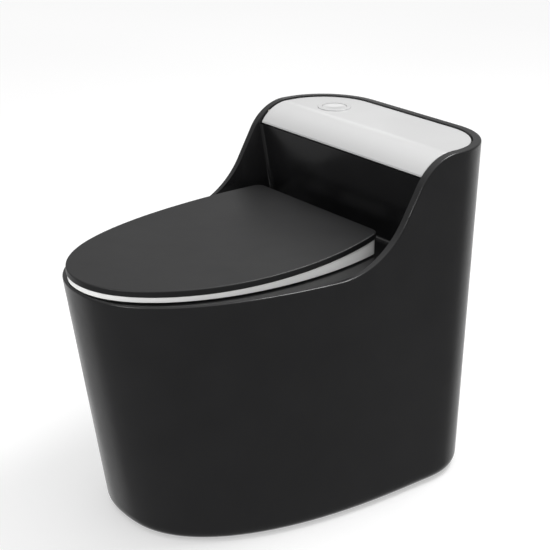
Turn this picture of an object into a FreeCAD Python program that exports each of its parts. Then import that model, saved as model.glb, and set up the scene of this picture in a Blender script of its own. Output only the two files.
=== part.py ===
import FreeCAD, Part
import math
import os

from FreeCAD import Vector

os.makedirs("parts", exist_ok=True)

# One-piece toilet. Millimetres, +Z up, nose towards -Y, cistern towards +Y.
# The origin is on the floor, under the middle of the overall length and width.

# ---- china: outer form
overall_length = 700.0
overall_width = 452.0
overall_height = 600.0
rim_height = 430.0
side_taper = 6.0  # how much narrower each side is at the floor than at the top
nose_rake = 70.0  # how far the nose at the floor stands behind the nose of the rim
rear_rake = 12.0  # how far the rear wall leans out from floor to top
straight_length = 178.0  # from the rear of the china to where its sides start to curve in
nose_exponent = 2.37  # above 2 is squarer than an ellipse
rear_corner_r = 115.0
foot_rounding = 24.0
lip_rounding = 3.0

# ---- china: rising side wings, seen from the side
wing_low_r = 150.0
wing_high_r = 88.0
wing_shoulder_back = 5.0  # from the bend of the cistern lid back to where the lip is level
wing_slope = math.radians(60)

# ---- china: walls and hollows
wall = 12.0
foot_ring_height = 30.0
deck_thickness = 18.0
lip_width = 14.0
well_side_gap = 2.5  # between the seat lid and the foot of the wings at the cistern
well_corner_r = 6.0
cistern_depth = 172.0  # from the foot of the cistern's front wall to the rear of the china
front_wall_thickness = 12.0
front_wall_lean = 10.0
front_wall_drop = 37.4  # from the top of the cistern down to the top of its front wall
ledge_width = 12.0
floor_slab_drop = 58.0  # from the rim down to the inside floor of the cistern
floor_slab_thickness = 12.0
service_half_width = 110.0
service_top_gap = 30.0  # from the top of the rear opening up to the cistern floor

# ---- bowl
bowl_wall = 10.0
rim_width_at_nose = 45.0
opening_to_hinge = 87.0
opening_half_width = 120.0
opening_rounding = 8.0
sump_r = 34.0
sump_bottom = 50.0
passage_start = 10.0  # behind the middle of the sump, where the passage's bore starts
sump_from_opening = 25.0  # how far the sump stands behind the middle of the opening

# Levels of the bowl's inner face: share of its depth, of the opening's length and width, and
# of the way from the middle of the opening back to the middle of the sump.
bowl_levels = (
    (0.0, 1.0, 1.0, 0.0),
    (0.23, 0.90, 0.88, 0.0),
    (0.48, 0.67, 0.67, 0.2),
    (0.72, 0.37, 0.42, 0.72),
)

# ---- trapway and flush duct
passage_r = 26.0
passage_wall = 10.0
outlet_to_rear = 220.0
crown_r = 65.0
crown_centre_z = 170.0
trap_rise = math.radians(50)
outlet_end_z = 6.0
outlet_seal_width = 18.0
outlet_seal_height = 20.0
duct_r = 18.0
duct_wall = 8.0
duct_end_x = -35.0
duct_end_in = 25.0  # from the rear of the bowl opening in to the duct's end
duct_overrun = 60.0  # cut on past its end, so that it opens into the bowl
duct_drop = 92.0  # from the deck's under face down to the middle of the duct
chamber_r = 42.0
chamber_depth = 60.0

# ---- seat and lid
lid_half_width = 181.5
seat_overhang = 1.5  # how far the lid reaches past the seat
wide_to_hinge = 152.0  # from the widest place of the seat back to its hinges
seat_exponent = 2.07
seat_side_r = 590.0  # the long curve that narrows the sides behind the widest place
seat_heel = 13.0  # how far the seat reaches behind its hinges
seat_rear_corner_r = 18.0
seat_gap = 3.0  # between the deck and the seat
seat_thickness = 7.8
lid_gap = 1.0  # between the seat and the lid
lid_thickness = 10.0
lid_bend_from_nose = 100.0
lid_bend_r = 3846.0
seat_hole_half_width = 106.0
seat_hole_inset = 12.0  # how far the seat reaches in over the bowl opening at each end
lid_edge_rounding = 2.0
seat_bumper_r = 7.0
lid_bumper_r = 6.0
lid_bumper_recess = 2.3
lid_bumper_front_inset = 36.0
lid_bumper_side_inset = 36.0
lid_bumper_forward = 90.0  # of the widest place of the seat
seat_bumper_front_out = 22.0  # outwards from the side of the bowl opening
seat_bumper_rear_out = 10.0
seat_bumper_forward = 40.0  # of the middle of the opening
seat_bumper_back = 25.0  # behind the rear of the opening

# ---- seat hinges
hinge_spread = 77.5
hinge_to_wall = 66.0  # from the hinges back to the foot of the cistern's front wall
hinge_lift = 17.0
hinge_pin_r = 4.0
running_clearance = 0.06
post_half_width = 10.0
post_r = 10.0
post_base_r = 11.0
post_base_height = 3.0
post_corner_share = 1.3  # the post's block is rounded to this share of its radius
knuckle_width = 10.0
knuckle_r = 9.0
knuckle_gap = 1.0
notch_side_gap = 1.5
notch_reach = 22.0
pin_engagement = 10.0
heel_clearance = 0.7
damper_r = 7.5
damper_length = 40.0
stud_r = 4.0
stud_length = 50.0
stud_in_post = 6.0
stud_hole_gap = 2.0
washer_r = 12.0
washer_thickness = 2.0
wing_nut_r = 8.0
wing_nut_height = 12.0
wing_reach = 20.0
wing_thickness = 3.0
wing_drop = 4.0  # the nut's wings hang this far below its core

# ---- loose fits
lid_side_gap = 2.5
rest_gap = 0.3
thread_gap = 0.1
pad_thickness = 3.0
pad_r = 4.0

# ---- cistern lid
cistern_lid_drop = 2.0
cistern_lid_thickness = 10.0
cistern_lid_bend_r = 70.0
cistern_lid_bend_run = 57.0  # from the lid's front edge back to where it is level
cistern_lid_rounding = 1.5
cistern_lid_front_height = 3.0  # upright face at the lid's front edge

# ---- button
button_x = -118.0
button_to_rear = 88.0
button_r = 22.0
button_gap = 0.3
button_height = 14.0
button_rounding = 1.0
bezel_wall = 1.7
bezel_flange = 6.0
bezel_depth = 26.0
bezel_rounding = 1.2
ring_nut_width = 8.0
ring_nut_height = 8.0
rod_r = 4.0
rod_tip_r = 2.0
rod_tip_length = 6.0
rod_to_lever = 1.0

# ---- flush valve
rod_arm = 14.0
tube_arm = 28.0
lever_height = 168.0  # above the cistern's inside floor
lever_thickness = 4.0
lever_half_width = 10.0
lever_end = 4.0
lever_hub_r = 3.5
lever_pin_r = 1.5
prong_width = 4.0
prong_gap = 1.5
fork_start = 6.0  # from the pivot to the fork's cross bar
fork_bar = 5.0
fork_overlap = 2.0
ear_width = 4.0
ear_half_length = 4.5
cage_wall = 4.0
cage_top_thickness = 6.0
cage_below_lever = 14.0
valve_spigot_r = 30.0
valve_spigot_wall = 6.0
valve_spigot_length = 29.0
valve_flange_width = 12.0
valve_flange_height = 6.0
gasket_thickness = 2.0
window_half_width = 13.0
window_height = 62.0
lift_tube_r = 14.0
lift_tube_wall = 3.0
lift_tube_above_lever = 10.0
collar_width = 8.0
collar_height = 4.0
seal_thickness = 4.0
screw_r = 2.2
screw_head_r = 4.2
screw_head_height = 3.0

# ---- fill valve
fill_x = 120.0
shank_r = 10.3
inlet_length = 25.0  # free end of the shank, below its nut
neck_r = 11.0
neck_hole_gap = 1.0
shank_bore_r = 6.0
fill_flange_r = 18.0
fill_flange_height = 6.0
fill_gasket_thickness = 3.0
column_r = 12.0
column_height = 168.0  # above the cistern's inside floor
cap_r = 20.0
cap_height = 16.0
cap_rounding = 3.0
float_gap = 0.5
float_width = 19.5
float_rest_height = 68.0  # above the cistern's inside floor
float_height = 60.0
fill_nut_height = 10.0
fill_nut_width = 7.0  # outwards from the neck to the nut's corners
fill_gasket_overhang = 2.0
stop_width = 4.0
stop_height = 4.0
column_end = 4.0  # solid end of the column above its bore

# ---- worked out from the sizes above
half_length = overall_length / 2
top_half_width = overall_width / 2
base_half_width = top_half_width - side_taper
straight_from_y = half_length - straight_length
deck_under = rim_height - deck_thickness
floor_slab_top = rim_height - floor_slab_drop
slab_under = floor_slab_top - floor_slab_thickness

front_wall_foot_y = half_length - cistern_depth
front_wall_top = overall_height - front_wall_drop
cistern_front_y = front_wall_foot_y + front_wall_thickness
cistern_wall = lip_width + ledge_width
cistern_lid_front_y = front_wall_foot_y - front_wall_lean - 1
cistern_lid_bend_y = cistern_lid_front_y + cistern_lid_bend_run
wing_shoulder_y = cistern_lid_bend_y + wing_shoulder_back
lid_top_z = overall_height - cistern_lid_drop
lid_under_z = lid_top_z - cistern_lid_thickness
ledge_z = lid_under_z - pad_thickness

hinge_y = front_wall_foot_y - hinge_to_wall
hinge_z = rim_height + hinge_lift
notch_half_width = post_half_width + knuckle_gap + knuckle_width + notch_side_gap
seat_bottom = rim_height + seat_gap
seat_top = seat_bottom + seat_thickness
lid_bottom = seat_top + lid_gap
lid_nose_y = -half_length
lid_bend_y = lid_nose_y + lid_bend_from_nose
seat_wide_y = hinge_y - wide_to_hinge
seat_rear_y = hinge_y + seat_heel
well_half_width = lid_half_width + well_side_gap

opening_front_y = rim_width_at_nose - half_length
opening_rear_y = hinge_y - opening_to_hinge
opening_half_length = (opening_rear_y - opening_front_y) / 2
opening_middle_y = (opening_rear_y + opening_front_y) / 2
sump_y = opening_middle_y + sump_from_opening
outlet_y = half_length - outlet_to_rear
duct_z = deck_under - duct_drop

button_y = half_length - button_to_rear
bezel_sleeve_r = button_r + button_gap + bezel_wall
bezel_r = bezel_sleeve_r + bezel_flange
button_top = overall_height - 0.5

lever_pivot_x = button_x + rod_arm
lever_z = floor_slab_top + lever_height
valve_x = lever_pivot_x + tube_arm
valve_y = button_y
valve_base_z = floor_slab_top + gasket_thickness
valve_seat_z = valve_base_z + valve_flange_height
valve_flange_r = valve_spigot_r + valve_flange_width
cage_top = lever_z - cage_below_lever

fill_y = button_y
fill_base_z = floor_slab_top + fill_gasket_thickness
column_top = floor_slab_top + column_height
float_bottom = floor_slab_top + float_rest_height
far = 1000.0  # past the part on every side
tall = 100.0  # past the seat and lid upwards
beyond = 20.0  # how far a cutting form runs past what it cuts
same = 0.01  # two places nearer than this are one
both = (-1, 1)


def export(name, *solids):
    """Write one node: a single solid, or several separate ones."""
    shape = solids[0] if len(solids) == 1 else Part.makeCompound(list(solids))
    shape.exportStep("parts/" + name + ".step")


def box(x0, x1, y0, y1, z0, z1):
    return Part.makeBox(x1 - x0, y1 - y0, z1 - z0, Vector(x0, y0, z0))


def rod(r, start, end):
    axis = end.sub(start)
    return Part.makeCylinder(r, axis.Length, start, axis)


def upright(x, y, r, z0, z1):
    return rod(r, Vector(x, y, z0), Vector(x, y, z1))


def tube(x, y, r_out, r_in, z0, z1):
    return upright(x, y, r_out, z0, z1).cut(upright(x, y, r_in, z0 - 1, z1 + 1))


def line(a, b):
    return Part.LineSegment(a, b).toShape()


def side_prism(edges, half_width):
    """Push a closed outline in the YZ plane out to both sides."""
    face = Part.Face(Part.Wire(edges))
    face.translate(Vector(-half_width, 0, 0))
    return face.extrude(Vector(2 * half_width, 0, 0))


def nose_points(half_width, nose_y, length, exponent):
    """Right half of a rounded nose, from the widest place to the tip: squarer than an ellipse."""
    steps = 14
    points = []
    for step in range(steps, -1, -1):
        turn = math.pi / 2 * step / steps
        across = math.sin(turn) ** (2 / exponent)
        back = 1 - max(math.cos(turn), 0.0) ** (2 / exponent)
        points.append((half_width * across, nose_y + length * back))
    return points


def both_halves(right_half, z):
    """Join a right half to its mirror image, running from the left side round to the right."""
    left = [Vector(-x, y, z) for x, y in right_half]
    right = [Vector(x, y, z) for x, y in reversed(right_half[:-1])]
    return left + right


def corner(x, y, r, side, z):
    """Quarter arc of a rear corner whose square corner would be at x, y."""
    centre = Vector(x - side * r, y - r, z)
    middle = centre.add(Vector(side * r * math.sqrt(0.5), r * math.sqrt(0.5), 0))
    if side > 0:
        ends = centre.add(Vector(r, 0, 0)), centre.add(Vector(0, r, 0))
    else:
        ends = centre.add(Vector(0, r, 0)), centre.add(Vector(-r, 0, 0))
    return Part.Arc(ends[0], middle, ends[1]).toShape()


def body_points(z, inset):
    """Points of the china's plan at height z, moved inwards by inset; the first is at the rear."""
    share = z / overall_height
    half_width = base_half_width + (top_half_width - base_half_width) * share - inset
    nose_y = -half_length + nose_rake * (1 - z / rim_height) + inset
    rear_y = half_length - rear_rake * (1 - share) - inset
    r = rear_corner_r - inset
    flat_steps = 5
    half = [((half_width - r) * step / flat_steps, rear_y) for step in range(flat_steps)]
    corner_steps = 8
    for step in range(corner_steps + 1):
        turn = math.pi / 2 * (1 - step / corner_steps)
        half.append((half_width - r + r * math.cos(turn), rear_y - r + r * math.sin(turn)))
    half.append((half_width, (rear_y - r + straight_from_y) / 2))
    half += nose_points(half_width, nose_y, straight_from_y - nose_y, nose_exponent)
    return both_halves(half, z)[:-1]


def body_plan(z, inset):
    """Closed smooth plan of the china; every level shares one spacing, so walls between them run true."""
    spaced = body_points(rim_height, 0)
    lengths = [0.0]
    for here, there in zip(spaced, spaced[1:] + spaced[:1]):
        lengths.append(lengths[-1] + there.sub(here).Length)
    curve = Part.BSplineCurve()
    curve.interpolate(Points=body_points(z, inset), Parameters=lengths, PeriodicFlag=True)
    return Part.Wire([curve.toShape()])


def body_form(z0, z1, inset):
    return Part.makeLoft([body_plan(z0, inset), body_plan(z1, inset)], True, True)


def well_plan(z, inset):
    """Plan between the wings: straight sides that open out upwards, round rear corners."""
    share = (z - rim_height) / (overall_height - rim_height)
    top_half = top_half_width - lip_width
    half_width = well_half_width + (top_half - well_half_width) * share - inset
    rear_y = half_length - lip_width - inset
    r = rear_corner_r - lip_width - inset
    front_y = -half_length - beyond
    front = line(Vector(-half_width, front_y, z), Vector(half_width, front_y, z))
    right = line(Vector(half_width, front_y, z), Vector(half_width, rear_y - r, z))
    rear = line(Vector(half_width - r, rear_y, z), Vector(r - half_width, rear_y, z))
    left = line(Vector(-half_width, rear_y - r, z), Vector(-half_width, front_y, z))
    right_corner = corner(half_width, rear_y, r, 1, z)
    left_corner = corner(-half_width, rear_y, r, -1, z)
    return Part.Wire([front, right, right_corner, rear, left_corner, left])


def well_form(z0, z1, inset):
    return Part.makeLoft([well_plan(z0, inset), well_plan(z1, inset)], True, True)


def arc_between(centre_y, centre_z, r, from_angle, to_angle):
    """Arc in the YZ plane; angles from +Y towards +Z."""
    def at(angle):
        return Vector(0, centre_y + r * math.cos(angle), centre_z + r * math.sin(angle))
    return Part.Arc(at(from_angle), at((from_angle + to_angle) / 2), at(to_angle))


def polyline(points):
    return [line(a, b) for a, b in zip(points, points[1:])]


def wing_profile():
    """Side outline of the lip: flat rim, hollow curve, slope, round shoulder and flat top."""
    low_centre_z = rim_height + wing_low_r
    high_centre_z = overall_height - wing_high_r
    low_end_z = low_centre_z - wing_low_r * math.cos(wing_slope)
    high_start_z = high_centre_z + wing_high_r * math.cos(wing_slope)
    high_start_y = wing_shoulder_y - wing_high_r * math.sin(wing_slope)
    low_end_y = high_start_y - (high_start_z - low_end_z) / math.tan(wing_slope)
    wing_start_y = low_end_y - wing_low_r * math.sin(wing_slope)
    low = arc_between(wing_start_y, low_centre_z, wing_low_r, -math.pi / 2, wing_slope - math.pi / 2)
    high = arc_between(wing_shoulder_y, high_centre_z, wing_high_r, wing_slope + math.pi / 2, math.pi / 2)
    flat_rim = line(Vector(0, -far, rim_height), Vector(0, wing_start_y, rim_height))
    slope = line(Vector(0, low_end_y, low_end_z), Vector(0, high_start_y, high_start_z))
    top = line(Vector(0, wing_shoulder_y, overall_height), Vector(0, far, overall_height))
    return [flat_rim, low.toShape(), slope, high.toShape(), top]


def closed_at(z):
    """The lip's outline closed by a level line far above or below it."""
    ends = Vector(0, far, overall_height), Vector(0, far, z), Vector(0, -far, z), Vector(0, -far, rim_height)
    return wing_profile() + polyline(ends)


def above_wings():
    """Everything above the flat rim, the rising wings and the top."""
    return side_prism(closed_at(far), far)


def behind_wing(side, inset):
    """All that lies outside one wing's inner face: the lip's outline swept down and inwards."""
    rise = (overall_height - rim_height) / (top_half_width - lip_width - well_half_width)
    face = Part.Face(Part.Wire(closed_at(-far)))
    face.translate(Vector(side * (top_half_width - inset), 0, rise * lip_width))
    sweep = top_half_width - lip_width - well_half_width + 2 * lip_width
    return face.extrude(Vector(-side * sweep, 0, -rise * sweep))


def inner_form(inset):
    """Space between the wings and the cistern's walls, moved inwards by inset."""
    join_y = wing_shoulder_y + 1
    z1 = overall_height + beyond
    half_width = top_half_width - inset
    front = box(-half_width, half_width, -far, join_y, rim_height, z1)
    front = front.cut([behind_wing(side, inset) for side in both])
    rear = well_form(rim_height, z1, inset).common(box(-far, far, join_y, far, rim_height, z1))
    return front.fuse(rear).removeSplitter()


def edges_near(solid, test):
    return [e for e in solid.Edges if all(test(v.Point) for v in e.Vertexes)]


def outer_form():
    """The closed outer form, with its foot and its lip rounded."""
    solid = body_form(0, overall_height + beyond, 0).cut(above_wings())
    foot = edges_near(solid, lambda p: p.z < same)
    solid = solid.makeFillet(foot_rounding, foot)
    lip = edges_near(solid, lambda p: p.z > rim_height - same)
    lip = [e for e in lip if not on_seam(e)]
    return solid.makeFillet(lip_rounding, lip)


def on_seam(edge):
    """True for a straight edge that runs from one side to the other, inside the top surface."""
    ends = [v.Point for v in edge.Vertexes]
    return isinstance(edge.Curve, Part.Line) and ends[0].x * ends[-1].x < 0


def front_wall_plane_region(z0, z1):
    """Space in front of the leaning cistern front wall."""
    per_z = front_wall_lean / (front_wall_top - rim_height)
    points = [
        Vector(0, -far, z0),
        Vector(0, front_wall_foot_y - per_z * (z0 - rim_height), z0),
        Vector(0, front_wall_foot_y - per_z * (z1 - rim_height), z1),
        Vector(0, -far, z1),
        Vector(0, -far, z0),
    ]
    return side_prism(polyline(points), far)


def well():
    """The open space between the wings, in front of the cistern."""
    space = inner_form(0).common(front_wall_plane_region(rim_height, overall_height + beyond))
    foot = [e for e in space.Edges if is_foot(e)]
    uprights = [e for e in space.Edges if is_wall_corner(e)]
    return space.makeFillet(well_corner_r, foot + uprights)


def is_foot(edge):
    """True for the edges where the deck meets the wings and the cistern's front wall."""
    ends = [v.Point for v in edge.Vertexes]
    low = all(abs(p.z - rim_height) < same for p in ends)
    return low and any(p.y > 1 - far for p in ends)


def is_wall_corner(edge):
    ends = [v.Point for v in edge.Vertexes]
    high = abs(ends[0].z - ends[-1].z) > tall / 2
    return high and all(p.y > 0 for p in ends)


def cistern_lid_outline():
    """Side outline of the cistern lid: level at the back, bending down to its front edge."""
    centre_y = cistern_lid_bend_y
    centre_z = lid_top_z - cistern_lid_bend_r
    outer_r = cistern_lid_bend_r
    inner_r = cistern_lid_bend_r - cistern_lid_thickness
    front_y = cistern_lid_front_y
    outer_angle = math.pi - math.acos((centre_y - front_y) / outer_r)
    front_top = centre_z + outer_r * math.sin(outer_angle)
    front_foot = front_top - cistern_lid_front_height
    inner_angle = math.pi - math.asin((front_foot - centre_z) / inner_r)
    inner_y = centre_y + inner_r * math.cos(inner_angle)
    outer = arc_between(centre_y, centre_z, outer_r, outer_angle, math.pi / 2).toShape()
    inner = arc_between(centre_y, centre_z, inner_r, math.pi / 2, inner_angle).toShape()
    back = polyline([
        Vector(0, centre_y, centre_z + outer_r),
        Vector(0, far, centre_z + outer_r),
        Vector(0, far, centre_z + inner_r),
        Vector(0, centre_y, centre_z + inner_r),
    ])
    front = polyline([
        Vector(0, inner_y, front_foot),
        Vector(0, front_y, front_foot),
        Vector(0, front_y, front_top),
    ])
    return [outer] + back + [inner] + front


def lid_pocket():
    """Recess that the cistern lid drops into: open upwards and forwards."""
    under_r = cistern_lid_bend_r - cistern_lid_thickness - pad_thickness
    bend_z = lid_top_z - cistern_lid_bend_r
    front_y = cistern_lid_front_y - well_corner_r
    front_part = box(-far, far, front_y, cistern_lid_bend_y, front_wall_top, far)
    bend = rod(under_r, Vector(-far, cistern_lid_bend_y, bend_z), Vector(far, cistern_lid_bend_y, bend_z))
    back_part = box(-far, far, cistern_lid_bend_y - 1, far, ledge_z, far)
    region = front_part.cut(bend).fuse(back_part)
    return inner_form(0).common(region)


def cistern_space():
    inner = body_form(slab_under - beyond, overall_height, cistern_wall)
    return inner.common(box(-far, far, cistern_front_y, far, floor_slab_top, ledge_z + 1))


def skirt_space():
    """The hollow under the deck and the cistern floor, with a foot ring left at the bottom."""
    upper = body_form(foot_ring_height, deck_under + beyond, wall)
    front = upper.common(box(-far, far, -far, front_wall_foot_y, 0, deck_under))
    back = upper.common(box(-far, far, front_wall_foot_y, far, 0, floor_slab_top))
    foot = body_form(-1, foot_ring_height + 1, foot_rounding + wall)
    return front.fuse([back, foot])


def ellipse_wire(half_length_y, half_width_x, middle_y, z):
    centre = Vector(0, middle_y, z)
    long_end = Vector(0, middle_y + half_length_y, z)
    side_end = Vector(half_width_x, middle_y, z)
    curve = Part.Ellipse(long_end, side_end, centre)
    return Part.Wire([curve.toShape()])


def bowl_form(offset):
    """The inner face of the bowl moved outwards by offset: elongated at the top, round at the sump."""
    depth = deck_under - sump_bottom
    wires = []
    for down, length_share, width_share, back_share in bowl_levels:
        along = length_share * opening_half_length
        across = width_share * opening_half_width
        middle = opening_middle_y + back_share * sump_from_opening
        z = deck_under - down * depth
        wires.append(ellipse_wire(along + offset, across + offset, middle, z))
    wires.append(ellipse_wire(sump_r + offset, sump_r - 1 + offset, sump_y, sump_bottom - offset))
    return Part.makeLoft(wires, True, False)


def passage_path(start_y, end_z):
    """Middle line of the trapway: up out of the sump, over the crown, down to the floor."""
    centre_y = outlet_y - crown_r
    rise_angle = math.pi / 2 + trap_rise
    top_y = centre_y + crown_r * math.cos(rise_angle)
    top_z = crown_centre_z + crown_r * math.sin(rise_angle)
    start_z = top_z - (top_y - start_y) * math.tan(trap_rise)
    over = arc_between(centre_y, crown_centre_z, crown_r, rise_angle, 0).toShape()
    up = line(Vector(0, start_y, start_z), Vector(0, top_y, top_z))
    down = line(Vector(0, outlet_y, crown_centre_z), Vector(0, outlet_y, end_z))
    return Part.Wire([up, over, down])


def passage(r, start_y, end_z):
    path = passage_path(start_y, end_z)
    start = path.Edges[0].valueAt(path.Edges[0].FirstParameter)
    direction = path.Edges[0].tangentAt(path.Edges[0].FirstParameter)
    ring = Part.Wire([Part.makeCircle(r, start, direction)])
    return path.makePipeShell([ring], True, False)


def duct(r, stretch):
    """Straight run from the flush chamber to the bowl."""
    start = Vector(valve_x, valve_y, duct_z)
    end = Vector(duct_end_x, opening_rear_y - duct_end_in, duct_z)
    along = end.sub(start).normalize()
    return rod(r, start, end.add(along.multiply(stretch)))


def make_outer_shell():
    solid = outer_form()
    solid = solid.cut(well())
    solid = solid.cut(lid_pocket())
    solid = solid.cut(cistern_space())
    solid = solid.cut(skirt_space())
    hole = ellipse_wire(opening_half_length, opening_half_width, opening_middle_y, deck_under - 1)
    solid = solid.cut(Part.Face(hole).extrude(Vector(0, 0, deck_thickness + beyond)))
    rim_edge = [e for e in solid.Edges if is_opening_edge(e)]
    solid = solid.makeFillet(opening_rounding, rim_edge)
    rear_y = half_length - rear_corner_r / 2
    rear_opening = box(-service_half_width, service_half_width, rear_y, far, -1, slab_under - service_top_gap)
    solid = solid.cut(rear_opening)
    for side in both:
        hole_r = stud_r + stud_hole_gap
        solid = solid.cut(upright(side * hinge_spread, hinge_y, hole_r, deck_under - 1, rim_height + 1))
    return solid


def is_opening_edge(edge):
    """True for the upper edge of the bowl opening."""
    b = edge.BoundBox
    at_rim = abs(b.ZMin - rim_height) < same and abs(b.ZMax - rim_height) < same
    return at_rim and abs(b.XMax - opening_half_width) < 1


def make_bowl():
    solid = bowl_form(bowl_wall).cut(bowl_form(0))
    solid = solid.cut(passage(passage_r, sump_y + 1.5 * passage_start, outlet_end_z))
    return solid.cut(duct(duct_r, duct_overrun))


def make_trapway():
    solid = passage(passage_r + passage_wall, sump_y + 1.5 * passage_start, outlet_end_z)
    solid = solid.cut(passage(passage_r, sump_y + passage_start, outlet_end_z - 1))
    solid = solid.cut(bowl_form(bowl_wall))
    return max(solid.Solids, key=lambda s: s.Volume)


def make_flush_channel():
    chamber_bottom_z = slab_under - chamber_depth
    chamber = upright(valve_x, valve_y, chamber_r + duct_wall, chamber_bottom_z - duct_wall, slab_under)
    solid = chamber.fuse(duct(duct_r + duct_wall, 0))
    solid = solid.cut(upright(valve_x, valve_y, chamber_r, chamber_bottom_z, slab_under + 1))
    solid = solid.cut(duct(duct_r, duct_overrun))
    solid = solid.cut(bowl_form(bowl_wall))
    return max(solid.Solids, key=lambda s: s.Volume)


def make_cistern_floor():
    solid = body_form(slab_under - 5, floor_slab_top + 5, wall)
    solid = solid.common(box(-far, far, front_wall_foot_y, far, slab_under, floor_slab_top))
    solid = solid.cut(upright(valve_x, valve_y, valve_spigot_r + 2, 0, far))
    solid = solid.cut(upright(fill_x, fill_y, neck_r + neck_hole_gap, 0, far))
    for x, y in screw_places():
        solid = solid.cut(upright(x, y, screw_r + rest_gap, slab_under + 2, far))
    return solid


def screw_places():
    """The three screws that hold the flush valve's flange."""
    r = valve_flange_r - valve_flange_width / 2 + 1
    places = []
    for turn in (90, 210, 330):
        angle = math.radians(turn)
        places.append((valve_x + r * math.cos(angle), valve_y + r * math.sin(angle)))
    return places


# ---- seat and lid
def seat_plan_solid(inset, z0, z1):
    """Upright prism of the seat's outline: smooth nose, narrowing sides, round rear corners."""
    half_width = lid_half_width - inset
    nose_y = lid_nose_y + inset
    rear_y = seat_rear_y - inset
    along = rear_y - seat_wide_y
    half = []
    steps = 5
    for step in range(steps, 0, -1):
        back = along * step / steps
        narrowing = seat_side_r - math.sqrt(seat_side_r ** 2 - back ** 2)
        half.append((half_width - narrowing, seat_wide_y + back))
    half += nose_points(half_width, nose_y, seat_wide_y - nose_y, seat_exponent)
    points = both_halves(half, z0)
    curve = Part.BSplineCurve()
    curve.interpolate(Points=points)
    outline = Part.Wire([curve.toShape(), line(points[-1], points[0])])
    solid = Part.Face(outline).extrude(Vector(0, 0, z1 - z0))
    corners = [e for e in solid.Edges if is_rear_upright(e, rear_y)]
    return solid.makeFillet(seat_rear_corner_r, corners)


def is_rear_upright(edge, rear_y):
    ends = [v.Point for v in edge.Vertexes]
    return all(abs(p.y - rear_y) < same for p in ends) and abs(ends[0].z - ends[-1].z) > 1


def bend_rise(y):
    """How far the seat's and lid's faces have risen at y."""
    back = max(0.0, y - lid_bend_y)
    return lid_bend_r - math.sqrt(lid_bend_r ** 2 - back ** 2)


def bend_outline(z_low, z_high):
    """Side outline of a sheet that is flat at the nose and then rises gently backwards."""
    end_y = seat_rear_y + beyond
    middle_y = (lid_bend_y + end_y) / 2

    def edge_at(z):
        start = Vector(0, -far, z)
        bend = Vector(0, lid_bend_y, z)
        end = Vector(0, end_y, z + bend_rise(end_y))
        arc = Part.Arc(bend, Vector(0, middle_y, z + bend_rise(middle_y)), end).toShape()
        return start, end, [line(start, bend), arc]
    low_start, low_end, low = edge_at(z_low)
    high_start, high_end, high = edge_at(z_high)
    return low + [line(low_end, high_end)] + high[::-1] + [line(high_start, low_start)]


def sheet(z_low, z_high):
    return side_prism(bend_outline(z_low, z_high), far)


def across_hinge(r, x0, x1):
    return rod(r, Vector(x0, hinge_y, hinge_z), Vector(x1, hinge_y, hinge_z))


def notch(side):
    """Slot in the seat around one hinge post."""
    x = side * hinge_spread
    front_y = hinge_y - notch_reach
    return box(x - notch_half_width, x + notch_half_width, front_y, far, rim_height, hinge_z + tall)


def make_seat_ring():
    solid = seat_plan_solid(seat_overhang, seat_bottom, seat_bottom + tall)
    solid = solid.common(sheet(0, seat_top))
    hole_half_length = opening_half_length - seat_hole_inset
    hole = ellipse_wire(hole_half_length, seat_hole_half_width, opening_middle_y, rim_height)
    solid = solid.cut(Part.Face(hole).extrude(Vector(0, 0, tall)))
    heel_r = hinge_lift - heel_clearance
    heel = box(-far, far, hinge_y, far, rim_height - beyond, hinge_z).cut(across_hinge(heel_r, -far, far))
    solid = solid.cut(heel)
    for side in both:
        solid = solid.cut(notch(side))
        reach = notch_half_width + pin_engagement
        x = side * hinge_spread
        solid = solid.cut(across_hinge(hinge_pin_r + running_clearance, x - reach - rest_gap, x + reach + rest_gap))
        inner = x - side * (reach + rest_gap)
        end = inner - side * (damper_length + 2 * rest_gap)
        solid = solid.cut(across_hinge(damper_r + running_clearance, inner, end))
    return solid


def make_seat_lid():
    solid = seat_plan_solid(0, rim_height, rim_height + tall)
    solid = solid.common(sheet(lid_bottom, lid_bottom + lid_thickness))
    top_edges = [e for e in solid.Edges if is_lid_top_edge(e)]
    solid = solid.makeFillet(lid_edge_rounding, top_edges)
    for place in knuckle_places():
        lug = across_hinge(knuckle_r, place[0], place[1])
        neck_top = lid_bottom + bend_rise(hinge_y - knuckle_r) + lid_thickness / 3
        neck = box(place[0], place[1], hinge_y - knuckle_r, hinge_y + knuckle_r, hinge_z, neck_top)
        solid = solid.fuse([lug, neck])
    for place in knuckle_places():
        solid = solid.cut(across_hinge(hinge_pin_r + running_clearance, place[0] - 1, place[1] + 1))
    for x, y in lid_bumper_places():
        solid = solid.cut(bumper_column(x, y).common(sheet(lid_bottom - 5, lid_bottom + lid_bumper_recess)))
    return solid.removeSplitter()


def is_lid_top_edge(edge):
    """True for the edges around the lid's upper face."""
    for p in (edge.Vertexes[0].Point, edge.Vertexes[-1].Point):
        if abs(p.z - lid_bottom - lid_thickness - bend_rise(p.y)) > 0.05:
            return False
    return not (abs(edge.Vertexes[0].Point.y - edge.Vertexes[-1].Point.y) < same
                and abs(edge.Vertexes[0].Point.y - lid_bend_y) < same)


def knuckle_places():
    """X spans of the four lid knuckles, one each side of each post."""
    places = []
    for side in both:
        for way in both:
            a = side * hinge_spread + way * (post_half_width + knuckle_gap)
            b = a + way * knuckle_width
            places.append((min(a, b), max(a, b)))
    return places


def lid_bumper_places():
    nose = [(side * lid_half_width / 3, lid_nose_y + lid_bumper_front_inset) for side in both]
    side_x = lid_half_width - lid_bumper_side_inset
    return nose + [(side * side_x, seat_wide_y - lid_bumper_forward) for side in both]


def seat_bumper_places():
    front_x = opening_half_width + seat_bumper_front_out
    rear_x = opening_half_width + seat_bumper_rear_out
    front = [(side * front_x, opening_middle_y - seat_bumper_forward) for side in both]
    return front + [(side * rear_x, opening_rear_y + seat_bumper_back) for side in both]


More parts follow.
